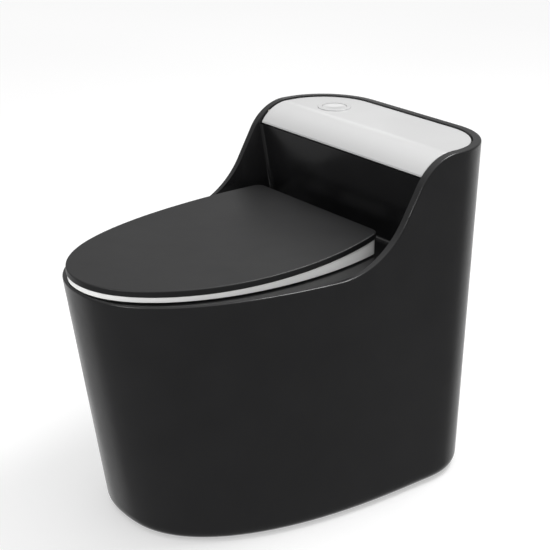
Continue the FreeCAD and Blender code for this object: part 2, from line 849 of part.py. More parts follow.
def bumper_column(x, y):
    return upright(x, y, lid_bumper_r, rim_height, rim_height + tall)


def make_hinge_post(side):
    x = side * hinge_spread
    base = upright(x, hinge_y, post_base_r, rim_height, rim_height + post_base_height)
    block = box(x - post_half_width, x + post_half_width, hinge_y - post_r, hinge_y + post_r, rim_height, hinge_z)
    block = block.common(upright(x, hinge_y, post_r * post_corner_share, rim_height, hinge_z))
    top = across_hinge(post_r, x - post_half_width, x + post_half_width)
    solid = base.fuse([block, top]).removeSplitter()
    reach = 2 * post_half_width
    solid = solid.cut(across_hinge(hinge_pin_r + running_clearance, x - reach, x + reach))
    return solid.cut(upright(x, hinge_y, stud_r, rim_height - 1, rim_height + stud_in_post))


def make_hinge_pin(side):
    x = side * hinge_spread
    reach = notch_half_width + pin_engagement
    return across_hinge(hinge_pin_r, x - reach, x + reach)


def make_damper(side):
    start = side * (hinge_spread - notch_half_width - pin_engagement - 2 * rest_gap)
    end = start - side * damper_length
    return across_hinge(damper_r, start, end)


def make_stud(side):
    top = rim_height + stud_in_post
    return upright(side * hinge_spread, hinge_y, stud_r, top - stud_length, top)


def make_washer(side):
    low = deck_under - washer_thickness
    return tube(side * hinge_spread, hinge_y, washer_r, stud_r + thread_gap, low, deck_under)


def make_wing_nut(side):
    x = side * hinge_spread
    top = deck_under - washer_thickness
    low = top - wing_nut_height
    core = upright(x, hinge_y, wing_nut_r, low, top)
    half = wing_thickness / 2
    wings = box(x - wing_reach, x + wing_reach, hinge_y - half, hinge_y + half, low - wing_drop, top - wing_drop / 2)
    nut = core.fuse(wings).removeSplitter()
    return nut.cut(upright(x, hinge_y, stud_r + thread_gap, low - wing_drop - 1, top + 1))


# ---- cistern lid and button
def make_cistern_lid():
    solid = side_prism(cistern_lid_outline(), far)
    solid = solid.common(inner_form(lid_side_gap))
    top_edges = [e for e in solid.Edges if is_cistern_lid_rim(e)]
    solid = solid.makeFillet(cistern_lid_rounding, top_edges)
    return solid.cut(upright(button_x, button_y, bezel_sleeve_r + button_gap, 0, far))


def is_cistern_lid_rim(edge):
    """True for the lid's upper edges at the sides and the rear; its thin front edge stays crisp."""
    ends = [v.Point for v in edge.Vertexes]
    centre_z = lid_top_z - cistern_lid_bend_r
    for p in ends:
        if p.y >= cistern_lid_bend_y - same:
            on_top = abs(p.z - lid_top_z) < same
        else:
            reach = math.hypot(p.y - cistern_lid_bend_y, p.z - centre_z)
            on_top = abs(reach - cistern_lid_bend_r) < 0.05
        if not on_top:
            return False
    return abs(ends[0].y - ends[-1].y) > same or ends[0].y > half_length - rear_corner_r


def make_pads():
    side_x = top_half_width - lip_width - ledge_width / 2 - lid_side_gap / 2
    rear_y = half_length - lip_width - ledge_width / 2
    places = [(side * side_x, cistern_lid_bend_y + pad_r + rest_gap) for side in both]
    places += [(side * side_x / 3, rear_y) for side in both]
    return [upright(x, y, pad_r, ledge_z, lid_under_z - rest_gap) for x, y in places]


def make_bezel():
    flange = upright(button_x, button_y, bezel_r, lid_top_z, overall_height)
    sleeve = upright(button_x, button_y, bezel_sleeve_r, lid_top_z - bezel_depth, lid_top_z)
    solid = flange.fuse(sleeve).removeSplitter()
    top_edge = [e for e in solid.Edges if is_circle(e, bezel_r, overall_height)]
    solid = solid.makeFillet(bezel_rounding, top_edge)
    return solid.cut(upright(button_x, button_y, button_r + button_gap, 0, far))


def is_circle(edge, r, z):
    b = edge.BoundBox
    return abs(b.ZMin - z) < same and abs(b.ZMax - z) < same and abs(b.XLength - 2 * r) < 0.1


def make_ring_nut():
    low = lid_under_z - ring_nut_height
    hole_r = bezel_sleeve_r + thread_gap
    return tube(button_x, button_y, bezel_sleeve_r + ring_nut_width, hole_r, low, lid_under_z)


def make_push_button():
    solid = upright(button_x, button_y, button_r, button_top - button_height, button_top)
    rim = [e for e in solid.Edges if is_circle(e, button_r, button_top)]
    return solid.makeFillet(button_rounding, rim)


def make_push_rod():
    tip_end = lever_z + lever_thickness / 2 + rod_to_lever
    shoulder = tip_end + rod_tip_length
    shaft = upright(button_x, button_y, rod_r, shoulder, button_top - button_height)
    tip = upright(button_x, button_y, rod_tip_r, tip_end, shoulder)
    return shaft.fuse(tip).removeSplitter()


# ---- flush valve
def screw_holes(r, z0, z1):
    columns = [upright(x, y, r, z0, z1) for x, y in screw_places()]
    return columns[0].fuse(columns[1:])


def make_valve_gasket():
    ring = tube(valve_x, valve_y, valve_flange_r, valve_spigot_r + thread_gap, floor_slab_top, valve_base_z)
    return ring.cut(screw_holes(screw_r + rest_gap, slab_under, valve_seat_z))


def make_valve_body():
    cage_r = valve_spigot_r + cage_wall
    flange = upright(valve_x, valve_y, valve_flange_r, valve_base_z, valve_seat_z)
    spigot = upright(valve_x, valve_y, valve_spigot_r, valve_base_z - valve_spigot_length, valve_seat_z)
    cage = upright(valve_x, valve_y, cage_r, valve_seat_z, cage_top)
    solid = flange.fuse([spigot, cage]).removeSplitter()
    solid = solid.cut(upright(valve_x, valve_y, valve_spigot_r, valve_seat_z, cage_top - cage_top_thickness))
    solid = solid.cut(upright(valve_x, valve_y, valve_spigot_r - valve_spigot_wall, 0, valve_seat_z + 1))
    solid = solid.cut(upright(valve_x, valve_y, lift_tube_r + 1, valve_seat_z, far))
    low = valve_seat_z + 2 * cage_wall
    across = window_half_width
    along = cage_r + beyond
    for x, y in ((along, across), (across, along)):
        window = box(valve_x - x, valve_x + x, valve_y - y, valve_y + y, low, low + window_height)
        solid = solid.cut(window)
    for side in both:
        near = valve_y + side * (lever_half_width + knuckle_gap / 2)
        ear_y = sorted((near, near + side * ear_width))
        ear_x = lever_pivot_x - ear_half_length, lever_pivot_x + ear_half_length
        ear = box(ear_x[0], ear_x[1], ear_y[0], ear_y[1], cage_top, lever_z + ear_half_length)
        solid = solid.fuse(ear)
    solid = solid.cut(lever_pin(lever_pin_r + running_clearance, beyond))
    solid = solid.cut(screw_holes(screw_r + rest_gap, valve_base_z - 1, valve_seat_z + 1))
    return solid.cut(screw_holes(screw_head_r + rest_gap, valve_seat_z, valve_seat_z + 2 * screw_head_height))


def lever_pin(r, reach):
    return rod(r, Vector(lever_pivot_x, valve_y - reach, lever_z), Vector(lever_pivot_x, valve_y + reach, lever_z))


def make_valve_screws():
    screws = []
    for x, y in screw_places():
        shaft = upright(x, y, screw_r, slab_under + 3, valve_seat_z)
        head = upright(x, y, screw_head_r, valve_seat_z, valve_seat_z + screw_head_height)
        screws.append(shaft.fuse(head).removeSplitter())
    return screws


def make_flush_lever():
    """Rocking lever: the button's rod presses one end, a fork at the other lifts the tube."""
    low = lever_z - lever_thickness / 2
    high = lever_z + lever_thickness / 2
    prong_in = lift_tube_r + prong_gap
    prong_out = prong_in + prong_width
    half = lever_half_width
    arm_end = lever_pivot_x + fork_start + fork_overlap
    bar_start = lever_pivot_x + fork_start
    bar_end = bar_start + fork_bar
    arm = box(lever_pivot_x - rod_arm - lever_end, arm_end, valve_y - half, valve_y + half, low, high)
    cross = box(bar_start, bar_end, valve_y - prong_out, valve_y + prong_out, low, high)
    solid = arm.fuse(cross)
    for side in both:
        prong_y = sorted((valve_y + side * prong_in, valve_y + side * prong_out))
        prong = box(bar_end - fork_overlap, valve_x + fork_start, prong_y[0], prong_y[1], low, high)
        solid = solid.fuse(prong)
    solid = solid.fuse(lever_pin(lever_hub_r, half)).removeSplitter()
    return solid.cut(lever_pin(lever_pin_r + running_clearance, beyond))


def make_lift_tube():
    top = lever_z + lift_tube_above_lever
    collar_z = lever_z + lever_thickness / 2 + rest_gap
    solid = upright(valve_x, valve_y, lift_tube_r, valve_base_z + 2, top)
    collar = upright(valve_x, valve_y, lift_tube_r + collar_width, collar_z, collar_z + collar_height)
    solid = solid.fuse(collar).removeSplitter()
    return solid.cut(upright(valve_x, valve_y, lift_tube_r - lift_tube_wall, 0, far))


def make_flush_seal():
    low = valve_seat_z + rest_gap
    return tube(valve_x, valve_y, valve_spigot_r - 1, lift_tube_r + running_clearance, low, low + seal_thickness)


# ---- fill valve
def make_fill_valve_body():
    stop_z = float_bottom - rest_gap
    neck_end = slab_under - fill_nut_height
    shank = upright(fill_x, fill_y, shank_r, neck_end - inlet_length, fill_base_z)
    neck = upright(fill_x, fill_y, neck_r, neck_end, fill_base_z)
    flange = upright(fill_x, fill_y, fill_flange_r, fill_base_z, fill_base_z + fill_flange_height)
    column = upright(fill_x, fill_y, column_r, fill_base_z, column_top)
    stop = upright(fill_x, fill_y, column_r + stop_width, stop_z - stop_height, stop_z)
    solid = shank.fuse([neck, flange, column, stop]).removeSplitter()
    return solid.cut(upright(fill_x, fill_y, shank_bore_r, 0, column_top - column_end))


def make_fill_valve_cap():
    top = column_top + cap_height
    solid = upright(fill_x, fill_y, cap_r, column_top, top)
    top_edge = [e for e in solid.Edges if is_circle(e, cap_r, top)]
    return solid.makeFillet(cap_rounding, top_edge)


def make_fill_valve_float():
    inner_r = column_r + float_gap
    return tube(fill_x, fill_y, inner_r + float_width, inner_r, float_bottom, float_bottom + float_height)


def make_fill_valve_gasket():
    return tube(fill_x, fill_y, fill_flange_r + fill_gasket_overhang, neck_r + thread_gap, floor_slab_top, fill_base_z)


def make_fill_valve_nut():
    corners = []
    for turn in range(0, 361, 60):
        angle = math.radians(turn)
        reach = neck_r + fill_nut_width
        place = Vector(fill_x + reach * math.cos(angle), fill_y + reach * math.sin(angle), slab_under)
        corners.append(place)
    solid = Part.Face(Part.makePolygon(corners)).extrude(Vector(0, 0, -fill_nut_height))
    return solid.cut(upright(fill_x, fill_y, neck_r + thread_gap, 0, far))


def make_outlet_gasket():
    inner_r = passage_r + passage_wall + rest_gap
    return tube(0, outlet_y, inner_r + outlet_seal_width, inner_r, 0, outlet_seal_height)


export("outer_shell", make_outer_shell())
export("bowl", make_bowl())
export("trapway", make_trapway())
export("flush_channel", make_flush_channel())
export("cistern_floor", make_cistern_floor())
export("seat_ring", make_seat_ring())
bumpers = [upright(x, y, seat_bumper_r, rim_height + rest_gap, seat_bottom) for x, y in seat_bumper_places()]
export("seat_bumpers", *bumpers)
export("seat_lid", make_seat_lid())
bumper_sheet = sheet(seat_top + rest_gap, lid_bottom + lid_bumper_recess)
export("lid_bumpers", *[bumper_column(x, y).common(bumper_sheet) for x, y in lid_bumper_places()])
export("hinge_posts", *[make_hinge_post(side) for side in both])
export("hinge_pins", *[make_hinge_pin(side) for side in both])
export("soft_close_dampers", *[make_damper(side) for side in both])
export("seat_studs", *[make_stud(side) for side in both])
export("seat_washers", *[make_washer(side) for side in both])
export("seat_wing_nuts", *[make_wing_nut(side) for side in both])
export("cistern_lid", make_cistern_lid())
export("cistern_lid_pads", *make_pads())
export("button_bezel", make_bezel())
export("button_ring_nut", make_ring_nut())
export("push_button", make_push_button())
export("push_rod", make_push_rod())
export("flush_valve_gasket", make_valve_gasket())
export("flush_valve_body", make_valve_body())
export("flush_valve_screws", *make_valve_screws())
export("flush_lever", make_flush_lever())
export("flush_lever_pin", lever_pin(lever_pin_r, lever_half_width + ear_width + knuckle_gap / 2))
export("lift_tube", make_lift_tube())
export("flush_seal", make_flush_seal())
export("fill_valve_body", make_fill_valve_body())
export("fill_valve_cap", make_fill_valve_cap())
export("fill_valve_float", make_fill_valve_float())
export("fill_valve_gasket", make_fill_valve_gasket())
export("fill_valve_nut", make_fill_valve_nut())
export("outlet_gasket", make_outlet_gasket())
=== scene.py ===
import math

import bmesh
import bpy
import numpy as np
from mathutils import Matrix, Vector


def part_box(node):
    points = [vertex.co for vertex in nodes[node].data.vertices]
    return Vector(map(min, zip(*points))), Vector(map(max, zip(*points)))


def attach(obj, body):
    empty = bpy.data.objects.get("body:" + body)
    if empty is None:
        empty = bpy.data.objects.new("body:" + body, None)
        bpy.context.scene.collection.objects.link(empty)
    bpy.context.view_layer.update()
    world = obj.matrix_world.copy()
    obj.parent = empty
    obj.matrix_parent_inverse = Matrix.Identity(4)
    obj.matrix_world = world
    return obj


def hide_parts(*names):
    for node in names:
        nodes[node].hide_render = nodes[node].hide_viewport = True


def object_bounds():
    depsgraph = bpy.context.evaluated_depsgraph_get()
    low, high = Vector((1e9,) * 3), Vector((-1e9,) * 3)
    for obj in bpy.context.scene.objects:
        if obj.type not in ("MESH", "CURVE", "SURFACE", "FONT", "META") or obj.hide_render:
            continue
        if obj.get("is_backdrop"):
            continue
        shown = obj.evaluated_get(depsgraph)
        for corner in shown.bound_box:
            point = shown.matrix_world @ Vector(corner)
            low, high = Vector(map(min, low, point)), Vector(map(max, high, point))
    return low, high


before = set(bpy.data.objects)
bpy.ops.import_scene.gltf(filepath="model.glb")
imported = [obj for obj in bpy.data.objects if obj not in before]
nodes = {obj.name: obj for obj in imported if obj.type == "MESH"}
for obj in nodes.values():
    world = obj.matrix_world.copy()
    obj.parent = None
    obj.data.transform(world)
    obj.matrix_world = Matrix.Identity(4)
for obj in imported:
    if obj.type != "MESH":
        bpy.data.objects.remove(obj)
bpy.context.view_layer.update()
scene = bpy.context.scene


# ---- The china body
# One casting of vitreous china: skirt, deck, wings and cistern walls. It is sprayed with a satin
# black glaze outside and fired once; the foot it stands on and the hollows inside stay bare.
def linear(colour):
    """An sRGB hex colour as the linear values that a shader takes."""
    shares = [int(colour[i:i + 2], 16) / 255 for i in (1, 3, 5)]
    return [s / 12.92 if s <= 0.04045 else ((s + 0.055) / 1.055) ** 2.4 for s in shares] + [1.0]


def add(tree, kind, inputs=None, **settings):
    """Adds a node, sets its properties, then sets or links its inputs."""
    made = tree.nodes.new(kind)
    for name, value in settings.items():
        setattr(made, name, value)
    for name, value in (inputs or {}).items():
        if isinstance(value, bpy.types.NodeSocket):
            tree.links.new(value, made.inputs[name])
        else:
            made.inputs[name].default_value = value
    return made


def start_material(name, sockets):
    """A material, its tree and its shader, with these sockets of the shader set."""
    made = bpy.data.materials.new(name)
    made.use_nodes = True
    shader = made.node_tree.nodes["Principled BSDF"]
    for socket, value in sockets.items():
        shader.inputs[socket].default_value = value
    return made, made.node_tree, shader


def dress(material, *names):
    """Gives CAD nodes this material in place of the plain one they came with."""
    for name in names:
        for place in nodes[name].material_slots:
            place.material = material


# The glaze is satin: black, with a fine orange-peel skin, a slow waviness from the hand-sprayed
# coat, and patches that shine a little more. Bare china shows chalky and warm where no glaze lies.
deck_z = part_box("hinge_posts")[0].z
ledge_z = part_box("cistern_lid_pads")[0].z
cistern_low, cistern_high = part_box("cistern_floor")
cistern_middle_y = (cistern_low.y + cistern_high.y) / 2
deck_thickness = 0.018
past_edge = 0.0005
behind_front_wall = 0.006
glaze_line = 0.0003
wave, wave_depth = 0.07, 0.0003
peel, peel_depth = 0.0025, 0.00001
grit_size = 0.0012
bare_roughness = 0.9
satin_black, tree, shader = start_material("satin_black_glaze_on_cast_china", {"IOR": 1.5})
place = add(tree, "ShaderNodeTexCoord").outputs["Object"]
spot = add(tree, "ShaderNodeSeparateXYZ", {0: place})
facing = add(tree, "ShaderNodeNewGeometry").outputs["Normal"]
cloud = add(tree, "ShaderNodeTexNoise", {"Vector": place, "Scale": 1 / wave, "Detail": 3.0})
black = add(tree, "ShaderNodeMix", {
    "Factor": cloud.outputs["Fac"], 6: linear("#121213"), 7: linear("#1a1a1b"),
}, data_type="RGBA")
grit = add(tree, "ShaderNodeTexNoise", {"Vector": place, "Scale": 1 / grit_size, "Detail": 2.0})
chalk = add(tree, "ShaderNodeMix", {
    "Factor": grit.outputs["Fac"], 6: linear("#cfc6b6"), 7: linear("#e2dccf"),
}, data_type="RGBA")

# A face is bare if it looks towards the middle of the skirt's hollow or of the cistern's.
bare_parts = []
for middle_y, below_z, behind_y in (
    (0.0, deck_z - deck_thickness + past_edge, None),
    (cistern_middle_y, ledge_z + past_edge, cistern_low.y + behind_front_wall),
):
    from_middle = add(tree, "ShaderNodeVectorMath", {0: place, 1: (0, middle_y, 0)}, operation="SUBTRACT")
    level = add(tree, "ShaderNodeVectorMath", {0: from_middle.outputs[0], 1: (1, 1, 0)}, operation="MULTIPLY")
    outward = add(tree, "ShaderNodeVectorMath", {0: level.outputs[0], 1: facing}, operation="DOT_PRODUCT")
    inward = add(tree, "ShaderNodeMath", {0: outward.outputs["Value"], 1: 0.001}, operation="LESS_THAN")
    below = add(tree, "ShaderNodeMath", {0: spot.outputs["Z"], 1: below_z}, operation="LESS_THAN")
    zone = add(tree, "ShaderNodeMath", {0: inward.outputs[0], 1: below.outputs[0]}, operation="MULTIPLY")
    if behind_y is not None:
        behind = add(tree, "ShaderNodeMath", {0: spot.outputs["Y"], 1: behind_y}, operation="GREATER_THAN")
        zone = add(tree, "ShaderNodeMath", {0: zone.outputs[0], 1: behind.outputs[0]}, operation="MULTIPLY")
    bare_parts.append(zone.outputs[0])
foot = add(tree, "ShaderNodeMath", {0: spot.outputs["Z"], 1: glaze_line}, operation="LESS_THAN")
hollow = add(tree, "ShaderNodeMath", {0: bare_parts[0], 1: bare_parts[1]}, operation="MAXIMUM")
bare = add(tree, "ShaderNodeMath", {0: hollow.outputs[0], 1: foot.outputs[0]}, operation="MAXIMUM").outputs[0]
overspray = add(tree, "ShaderNodeMapRange", {0: cloud.outputs["Fac"], 1: 0.52, 2: 0.75, 3: 0.0, 4: 0.35})
dusted = add(tree, "ShaderNodeMix", {
    "Factor": overspray.outputs[0], 6: chalk.outputs[2], 7: linear("#5d5a55"),
}, data_type="RGBA")
skin = add(tree, "ShaderNodeMix", {
    "Factor": bare, 6: black.outputs[2], 7: dusted.outputs[2],
}, data_type="RGBA")
tree.links.new(skin.outputs[2], shader.inputs["Base Color"])
shine = add(tree, "ShaderNodeMapRange", {0: cloud.outputs["Fac"], 1: 0.3, 2: 0.7, 3: 0.2, 4: 0.27})
rough = add(tree, "ShaderNodeMix", {
    "Factor": bare, 2: shine.outputs[0], 3: bare_roughness,
}, data_type="FLOAT")
tree.links.new(rough.outputs[0], shader.inputs["Roughness"])
orange_peel = add(tree, "ShaderNodeTexNoise", {"Vector": place, "Scale": 1 / peel, "Detail": 1.0})
waves = add(tree, "ShaderNodeBump", {"Height": cloud.outputs["Fac"], "Strength": 1.0, "Distance": wave_depth})
bumps = add(tree, "ShaderNodeBump", {
    "Height": orange_peel.outputs["Fac"], "Normal": waves.outputs[0], "Strength": 1.0, "Distance": peel_depth,
})
tree.links.new(bumps.outputs[0], shader.inputs["Normal"])
dress(satin_black, "outer_shell")


# ---- Bowl, trapway and flush duct
# The inner castings are stuck to the skirt while damp and fired with it. Only the bowl's inside
# is glazed, gloss white; the trapway, the duct and the cistern's floor stay chalky bare china.
# The white glaze is glassy, with a slow unevenness where it pooled before it set.
pool_size, pool_depth = 0.05, 0.0005
glaze_roughness = 0.08
white_glaze, tree, shader = start_material("gloss_white_glaze_in_the_bowl", {"IOR": 1.52})
place = add(tree, "ShaderNodeTexCoord").outputs["Object"]
facing = add(tree, "ShaderNodeNewGeometry").outputs["Normal"]
bowl_low, bowl_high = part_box("bowl")
bowl_middle = (bowl_low + bowl_high) / 2
bowl_middle.z = bowl_high.z
from_middle = add(tree, "ShaderNodeVectorMath", {0: place, 1: bowl_middle}, operation="SUBTRACT")
outward = add(tree, "ShaderNodeVectorMath", {0: from_middle.outputs[0], 1: facing}, operation="DOT_PRODUCT")
past_wall = add(tree, "ShaderNodeMath", {0: outward.outputs["Value"], 1: 0.0}, operation="GREATER_THAN")
outside = past_wall.outputs[0]
pool = add(tree, "ShaderNodeTexNoise", {"Vector": place, "Scale": 1 / pool_size, "Detail": 2.0})
milk = add(tree, "ShaderNodeMix", {
    "Factor": pool.outputs["Fac"], 6: linear("#f1f1ee"), 7: linear("#f8f8f6"),
}, data_type="RGBA")
skin = add(tree, "ShaderNodeMix", {
    "Factor": outside, 6: milk.outputs[2], 7: linear("#d8d1c3"),
}, data_type="RGBA")
tree.links.new(skin.outputs[2], shader.inputs["Base Color"])
rough = add(tree, "ShaderNodeMix", {
    "Factor": outside, 2: glaze_roughness, 3: bare_roughness,
}, data_type="FLOAT")
tree.links.new(rough.outputs[0], shader.inputs["Roughness"])
bumps = add(tree, "ShaderNodeBump", {"Height": pool.outputs["Fac"], "Strength": 1.0, "Distance": pool_depth})
tree.links.new(bumps.outputs[0], shader.inputs["Normal"])
dress(white_glaze, "bowl")

# Fired slip: warm, chalky, with a fine sandy tooth and faint darker clouds from the mould.
mould_cloud = 0.04
tooth_size, tooth_depth = 0.0015, 0.0001
bare_china, tree, shader = start_material("bare_fired_china", {"Roughness": 0.92, "IOR": 1.4})
place = add(tree, "ShaderNodeTexCoord").outputs["Object"]
cloud = add(tree, "ShaderNodeTexNoise", {"Vector": place, "Scale": 1 / mould_cloud, "Detail": 4.0})
chalk = add(tree, "ShaderNodeMix", {
    "Factor": cloud.outputs["Fac"], 6: linear("#cdc4b3"), 7: linear("#e3ddd0"),
}, data_type="RGBA")
tree.links.new(chalk.outputs[2], shader.inputs["Base Color"])
tooth = add(tree, "ShaderNodeTexNoise", {"Vector": place, "Scale": 1 / tooth_size, "Detail": 2.0})
bumps = add(tree, "ShaderNodeBump", {
    "Height": tooth.outputs["Fac"], "Strength": 1.0, "Distance": tooth_depth,
})
tree.links.new(bumps.outputs[0], shader.inputs["Normal"])
dress(bare_china, "trapway", "flush_channel", "cistern_floor")


# ---- Seat ring and its bumpers
# A ring of white urea, pressed in a hot polished mould, so it is dense and glossy. Four soft
# rubber bumpers are pushed into its under side and carry it on the rim.
def moulded(name, light, dark, roughness, grain, depth, cloud_size=0.05):
    """A moulded plastic or rubber: faint cloudy colour, uneven shine and a grain of this size and depth."""
    uneven = 0.12
    made, tree, shader = start_material(name, {"IOR": 1.5})
    place = add(tree, "ShaderNodeTexCoord").outputs["Object"]
    cloud = add(tree, "ShaderNodeTexNoise", {"Vector": place, "Scale": 1 / cloud_size, "Detail": 3.0})
    colour = add(tree, "ShaderNodeMix", {
        "Factor": cloud.outputs["Fac"], 6: linear(dark), 7: linear(light),
    }, data_type="RGBA")
    tree.links.new(colour.outputs[2], shader.inputs["Base Color"])
    shine = add(tree, "ShaderNodeMapRange", {
        0: cloud.outputs["Fac"], 1: 0.3, 2: 0.7, 3: roughness * (1 - uneven), 4: roughness * (1 + uneven),
    })
    tree.links.new(shine.outputs[0], shader.inputs["Roughness"])
    skin = add(tree, "ShaderNodeTexNoise", {"Vector": place, "Scale": 1 / grain, "Detail": 2.0})
    bumps = add(tree, "ShaderNodeBump", {"Height": skin.outputs["Fac"], "Strength": 1.0, "Distance": depth})
    tree.links.new(bumps.outputs[0], shader.inputs["Normal"])
    return made


def solids_of(name):
    """The lowest and highest corner of each separate solid of a CAD node."""
    shape = bmesh.new()
    shape.from_mesh(nodes[name].data)
    bmesh.ops.remove_doubles(shape, verts=shape.verts, dist=1e-6)
    left = set(shape.verts)
    corners = []
    while left:
        queue = [left.pop()]
        found = []
        while queue:
            here = queue.pop()
            found.append(here.co.copy())
            for edge in here.link_edges:
                there = edge.other_vert(here)
                if there in left:
                    left.remove(there)
                    queue.append(there)
        points = np.array(found)
        corners.append((Vector(points.min(0)), Vector(points.max(0))))
    shape.free()
    return sorted(corners, key=lambda c: (round(c[0].y, 4), round(c[0].x, 4)))


def on_axis(solid, z):
    """The point at height z on the upright line through the middle of a solid's box."""
    low, high = solid
    return (low.x + high.x) / 2, (low.y + high.y) / 2, z


def new_piece(name, mesh, material, body, slot, *stands_for):
    """Shows a finished mesh as a piece that rides on a body and stands for these CAD nodes."""
    mesh.materials.clear()
    mesh.materials.append(material)
    mesh.polygons.foreach_set("use_smooth", [True] * len(mesh.polygons))
    mesh.set_sharp_from_angle(angle=math.radians(35))
    piece = bpy.data.objects.new(name, mesh)
    scene.collection.objects.link(piece)
    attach(piece, body)
    if stands_for:
        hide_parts(*stands_for)
    return piece


def size_inputs(tree, sizes):
    """Gives a geometry tree its geometry sockets, then its named sizes; returns the input node.

    The geometry comes first, because a tree whose first input is a size grows nothing.
    """
    tree.interface.new_socket(name="Geometry", in_out="INPUT", socket_type="NodeSocketGeometry")
    tree.interface.new_socket(name="Geometry", in_out="OUTPUT", socket_type="NodeSocketGeometry")
    for name, value in sizes.items():
        kind = "NodeSocketInt" if isinstance(value, int) else "NodeSocketFloat"
        tree.interface.new_socket(name=name, in_out="INPUT", socket_type=kind)
    return tree.nodes.new("NodeGroupInput")


def finish_tree(tree, shape, material):
    """Ends a geometry tree in Realize Instances and Set Material."""
    plain = add(tree, "GeometryNodeRealizeInstances", {"Geometry": shape})
    dressed = add(tree, "GeometryNodeSetMaterial", {"Geometry": plain.outputs[0], "Material": material})
    add(tree, "NodeGroupOutput", {"Geometry": dressed.outputs[0]})


def grow(name, tree, sizes, places):
    """Runs a geometry tree on points at these places and returns the plain mesh."""
    points = bpy.data.meshes.new(name + "_places")
    points.from_pydata([tuple(p) for p in places], [], [])
    holder = bpy.data.objects.new(name + "_places", points)
    scene.collection.objects.link(holder)
    grown = holder.modifiers.new("growth", "NODES")
    grown.node_group = tree
    for item in tree.interface.items_tree:
        if item.in_out == "INPUT" and item.name in sizes:
            grown[item.identifier] = sizes[item.name]
    settled = holder.evaluated_get(bpy.context.evaluated_depsgraph_get())
    mesh = bpy.data.meshes.new_from_object(settled)
    mesh.name = name
    bpy.data.objects.remove(holder)
    return mesh


def bumper_tree(material):
    """A tree that stands a short round bumper with a domed foot, pointing down, at each point."""
    tree = bpy.data.node_groups.new("domed_bumper", "GeometryNodeTree")
    start = size_inputs(tree, {"Radius": 0.0, "Shank": 0.0, "Dome": 0.0})
    shank = add(tree, "GeometryNodeMeshCylinder", {
        "Vertices": 40, "Radius": start.outputs["Radius"], "Depth": start.outputs["Shank"],
    })
    half = add(tree, "ShaderNodeMath", {0: start.outputs["Shank"], 1: -0.5}, operation="MULTIPLY")
    foot = add(tree, "ShaderNodeCombineXYZ", {"Z": half.outputs[0]})
    flat = add(tree, "ShaderNodeCombineXYZ", {
        "X": start.outputs["Radius"], "Y": start.outputs["Radius"], "Z": start.outputs["Dome"],
    })
    ball = add(tree, "GeometryNodeMeshUVSphere", {"Segments": 40, "Rings": 16, "Radius": 1.0})
    dome = add(tree, "GeometryNodeTransform", {
        "Geometry": ball.outputs[0], "Translation": foot.outputs[0], "Scale": flat.outputs[0],
    })
    whole = add(tree, "GeometryNodeJoinGeometry")
    tree.links.new(shank.outputs["Mesh"], whole.inputs[0])
    tree.links.new(dome.outputs[0], whole.inputs[0])
    stood = add(tree, "GeometryNodeInstanceOnPoints", {
        "Points": start.outputs["Geometry"], "Instance": whole.outputs[0],
    })
    finish_tree(tree, stood.outputs[0], material)
    return tree


# The seat is smooth and shines hard; the soft rubber is duller, with a fine skin from its mould.
white_urea = moulded("pressed_white_urea_seat", "#f2f2f1", "#eeeeed", 0.13, 0.004, 0.00002)
dress(white_urea, "seat_ring")
soft_rubber = moulded("soft_white_rubber", "#dcdcd8", "#cfcfca", 0.6, 0.0008, 0.00003, 0.02)
domed_bumper = bumper_tree(soft_rubber)
dome_share = 0.35
for piece_name, node, body in (
    ("seat_bumper_set", "seat_bumpers", "seat"),
    ("lid_bumper_set", "lid_bumpers", "lid"),
):
    solids = solids_of(node)
    low, high = solids[0]
    radius = (high.x - low.x) / 2
    heights = [top.z - foot.z for foot, top in solids]
    dome = min(heights) * dome_share
    shank = max(heights) - dome
    places = [on_axis(s, s[0].z + dome + shank / 2) for s in solids]
    mesh = grow(piece_name, domed_bumper, {"Radius": radius, "Shank": shank, "Dome": dome}, places)
    new_piece(piece_name, mesh, soft_rubber, body, "seat_rubber", node)


# ---- Seat lid
# A thin lid of black urea pressed in a mould with a satin face, so it shows a soft, even sheen
# and a very faint tooth. Its rubber bumpers are made with the seat's.
black_urea = moulded("pressed_satin_black_urea_lid", "#161617", "#111112", 0.42, 0.003, 0.00003, 0.12)
dress(black_urea, "seat_lid")


# ---- Seat hinges
# Two chrome-plated zinc posts on steel studs, held under the deck by rubber washers and plastic
# wing nuts. Steel pins run through the posts; two oil dampers in the seat slow its fall.
# Chrome mirrors what is round it, through a thin haze left by polishing.
haze_size = 0.006
chrome, tree, shader = start_material("polished_chrome_on_cast_zinc", {"Metallic": 1.0})
place = add(tree, "ShaderNodeTexCoord").outputs["Object"]
haze = add(tree, "ShaderNodeTexNoise", {"Vector": place, "Scale": 1 / haze_size, "Detail": 3.0})
tint = add(tree, "ShaderNodeMix", {
    "Factor": haze.outputs["Fac"], 6: linear("#d3d5d8"), 7: linear("#e2e3e5"),
}, data_type="RGBA")
tree.links.new(tint.outputs[2], shader.inputs["Base Color"])
shine = add(tree, "ShaderNodeMapRange", {0: haze.outputs["Fac"], 1: 0.3, 2: 0.7, 3: 0.05, 4: 0.12})
tree.links.new(shine.outputs[0], shader.inputs["Roughness"])
dress(chrome, "hinge_posts")

